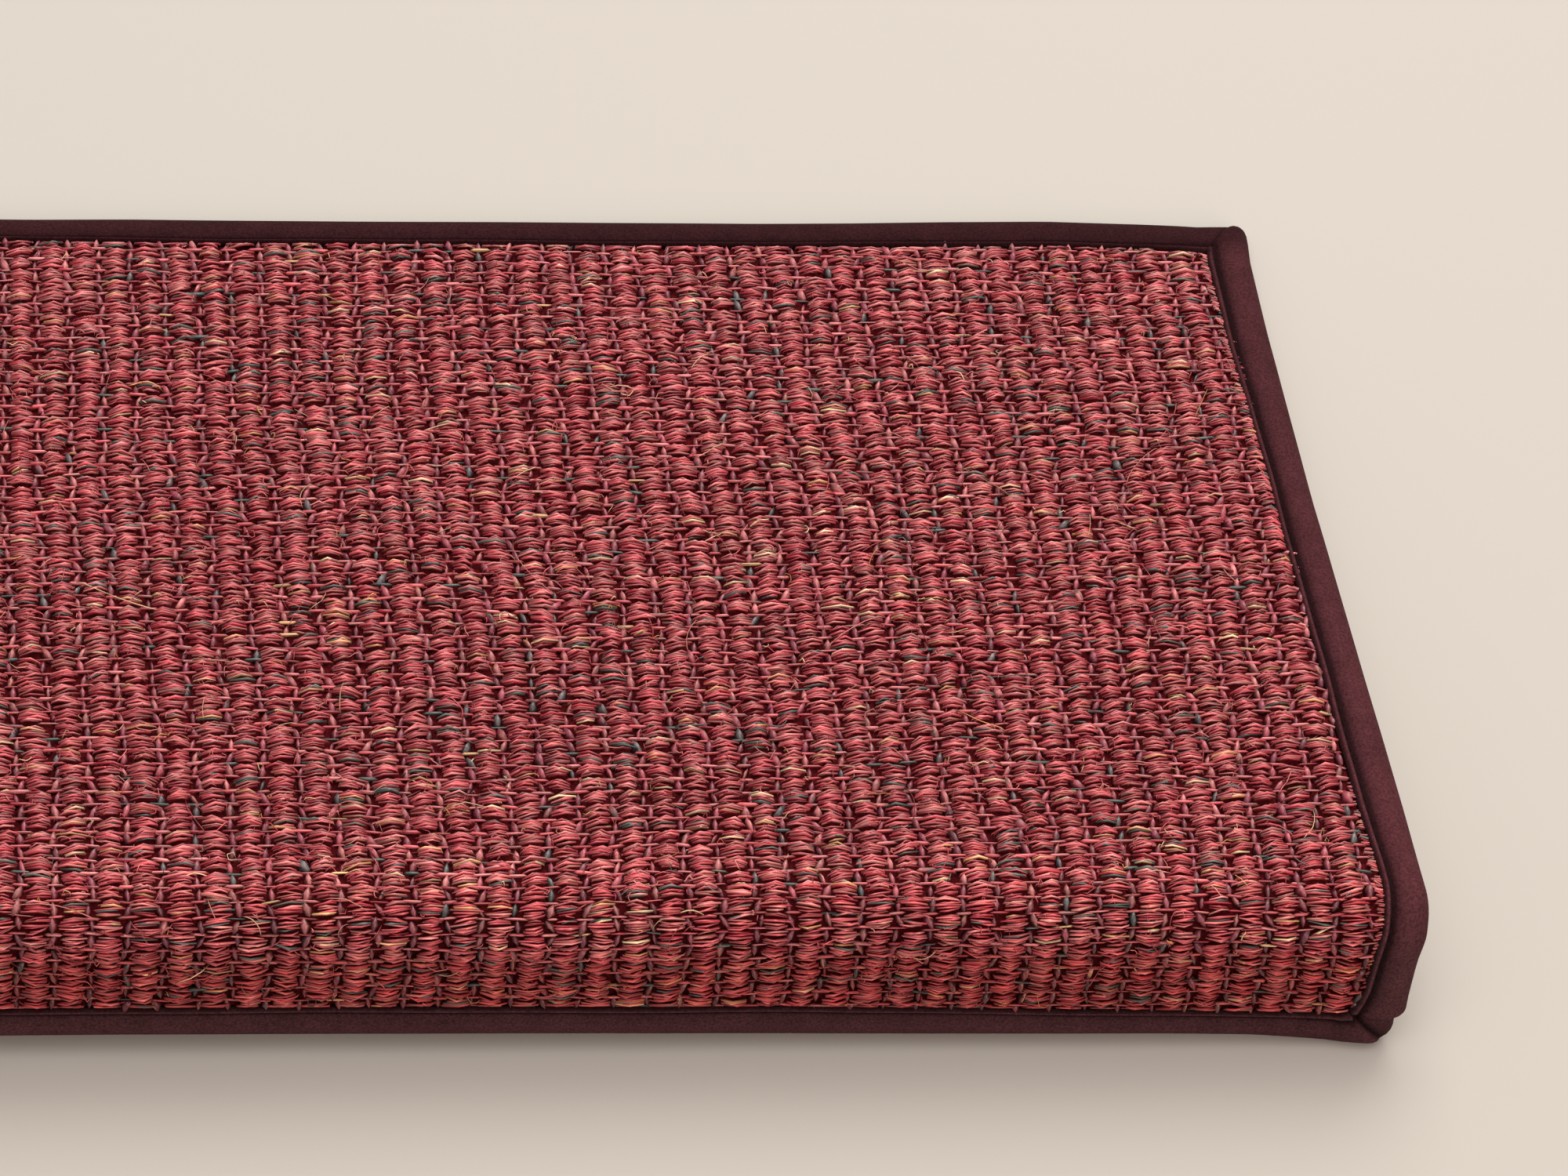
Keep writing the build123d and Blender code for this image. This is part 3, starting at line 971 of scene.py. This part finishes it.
def addBase():
    # A closed slab over the bent mat, latex on its underside inside the tape
    underTape, bare = base["underTape"], base["bare"]
    fine = np.linspace(-windowHalf + bare, windowHalf - bare, 58)
    lastTaped = windowHalf + underTape
    columnsAt = np.concatenate([[-halfWidth, -lastTaped], fine, [lastTaped, halfWidth]])
    back = backInner(columnsAt)
    rows = [backEdge(columnsAt) + base["inset"], back - underTape, back + bare]
    tread = np.arange(14.5, flatRun - 2, base["step"])
    bend = np.linspace(flatRun, flatRun + bendRun, 13)
    rows += [np.full(len(columnsAt), s) for s in np.concatenate([tread, bend])]
    window = flatLength - frontInset(columnsAt)
    for part in (0.25, 0.5, 0.75, 1.0):
        rows.append(flatRun + bendRun + part * (window - bare - flatRun - bendRun))
    rows.append(window + underTape)
    rows.append(frontEdge(columnsAt) - base["inset"])
    gs = np.stack(rows, 1)
    gx = np.repeat(columnsAt[:, None], gs.shape[1], 1)
    limit = outlineHalf(gs) - base["inset"]
    gx = np.clip(gx, -limit, limit)
    nx, ns = gx.shape
    taped = np.zeros((nx, ns), bool)
    taped[:2] = taped[-2:] = True
    taped[:, :2] = taped[:, -2:] = True
    low = np.where(taped, base["tapedLevel"], base["latexLevel"])
    top = np.stack([gx, gs, np.full(gx.shape, weave["baseHeight"])], -1).reshape(-1, 3)
    under = np.stack([gx, gs, low], -1).reshape(-1, 3)
    i, j = np.meshgrid(np.arange(nx - 1), np.arange(ns - 1), indexing="ij")
    a = (i * ns + j).ravel()
    topFaces = np.stack([a, a + 1, a + ns + 1, a + ns], -1)
    underFaces = topFaces[:, ::-1] + nx * ns
    # Once round the edge, where walls close the slab
    ringI = [np.arange(nx), np.full(ns - 1, nx - 1), np.arange(nx - 2, -1, -1), np.zeros(ns - 2, int)]
    ringJ = [np.zeros(nx, int), np.arange(1, ns), np.full(nx - 1, ns - 1), np.arange(ns - 2, 0, -1)]
    ring = np.concatenate(ringI) * ns + np.concatenate(ringJ)
    after = np.roll(ring, -1)
    walls = np.stack([ring, after, after + nx * ns, ring + nx * ns], -1)
    finish = np.concatenate([np.zeros(len(topFaces)), np.ones(len(underFaces)), np.zeros(len(walls))])
    return addPiece(
        "base_cloth",
        overNose(np.concatenate([top, under])),
        [topFaces, underFaces, walls],
        [groundMaterial(), latexMaterial()],
        smooth=False,
        finish=finish,
    )


clothBase = addBase()
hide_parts("sisal_mat")
print("base cloth done")

# Camera: where the photo's camera stood, in the mat's own axes, in millimetres from the middle of the nose
camera = {
    "lens": 136.73,
    "place": (-10.5, -869.3, 875.9),  # right, back, above the top face
    "yaw": 12.03,
    "pitch": 41.38,
    "roll": 8.25,
    "sensor": 36.0,
    "far": 20.0,  # metres
}


def addCamera():
    yaw, pitch, roll = (radians(camera[k]) for k in ("yaw", "pitch", "roll"))
    inMat = np.array([across, toBack, toTop])
    forward = np.array([sin(yaw) * cos(pitch), cos(yaw) * cos(pitch), -sin(pitch)])
    right = np.array([cos(yaw), -sin(yaw), 0.0])
    up = np.cross(right, forward)
    turnedRight = cos(roll) * right + sin(roll) * up
    turnedUp = -sin(roll) * right + cos(roll) * up
    right, up, back = (v @ inMat for v in (turnedRight, turnedUp, -forward))
    place = (np.array(camera["place"]) + [0, 0, mat["thickness"]]) @ inMat + heel
    data = bpy.data.cameras.new("camera")
    data.lens = camera["lens"]
    data.sensor_width = camera["sensor"]
    data.clip_end = camera["far"]
    eye = bpy.data.objects.new("camera", data)
    turn = Matrix([right, up, back]).transposed()
    eye.matrix_world = Matrix.Translation(Vector(place * mm)) @ turn.to_4x4()
    bpy.context.scene.collection.objects.link(eye)
    bpy.context.scene.camera = eye


stage = {
    "half": 6.0,  # metres
    "floorColour": "#c2bfba",
    "floorRoughness": 0.8,
    "airColour": "#f4f2ef",
    "airStrength": 0.4,
}


def addFloor():
    half = stage["half"]
    corners = [(-half, -half, 0), (half, -half, 0), (half, half, 0), (-half, half, 0)]
    mesh = bpy.data.meshes.new("floor")
    mesh.from_pydata(corners, [], [(0, 1, 2, 3)])
    floor = bpy.data.objects.new("floor", mesh)
    bpy.context.scene.collection.objects.link(floor)
    # Matt and pale, so that only the mat's soft shadow shows on it
    material, tree = newMaterial("pale_floor")
    matt = {"Base Color": toLinear(stage["floorColour"]), "Roughness": stage["floorRoughness"]}
    shader = addNode(tree, "ShaderNodeBsdfPrincipled", matt)
    addNode(tree, "ShaderNodeOutputMaterial", {}, {"Surface": shader.outputs["BSDF"]})
    mesh.materials.append(material)


# Soft daylight from behind and above, and a warmer weak light on the lip
lamps = [
    # name, place, size, watts, colour
    ("window_behind", (0.5, 1.05, 1.6), 1.4, 30.5, "#fff7ee"),
    ("ceiling_panel", (-0.2, -0.35, 1.9), 1.2, 12.0, "#fff7ee"),
    ("front_panel", (0.9, -1.45, 1.15), 1.2, 14.8, "#ffe2d3"),
]


def addLamps():
    for name, place, size, watts, colour in lamps:
        data = bpy.data.lights.new(name, "AREA")
        data.shape = "SQUARE"
        data.size = size
        data.energy = watts
        data.color = toLinear(colour)[:3]
        lamp = bpy.data.objects.new(name, data)
        lamp.location = place
        lamp.rotation_euler = (-Vector(place)).to_track_quat("-Z", "Y").to_euler()
        bpy.context.scene.collection.objects.link(lamp)
    world = bpy.data.worlds.new("studio")
    world.use_nodes = True
    air = world.node_tree.nodes["Background"]
    air.inputs["Color"].default_value = toLinear(stage["airColour"])
    air.inputs["Strength"].default_value = stage["airStrength"]
    bpy.context.scene.world = world


addCamera()
addFloor()
addLamps()
bpy.context.scene.view_settings.view_transform = "Standard"
print("camera, floor and lamps done")
shownMeshes = [o.data for o in bpy.context.scene.objects if o.type == "MESH" and not o.hide_render]
print("triangles:", sum(len(m.loops) - 2 * len(m.polygons) for m in shownMeshes))
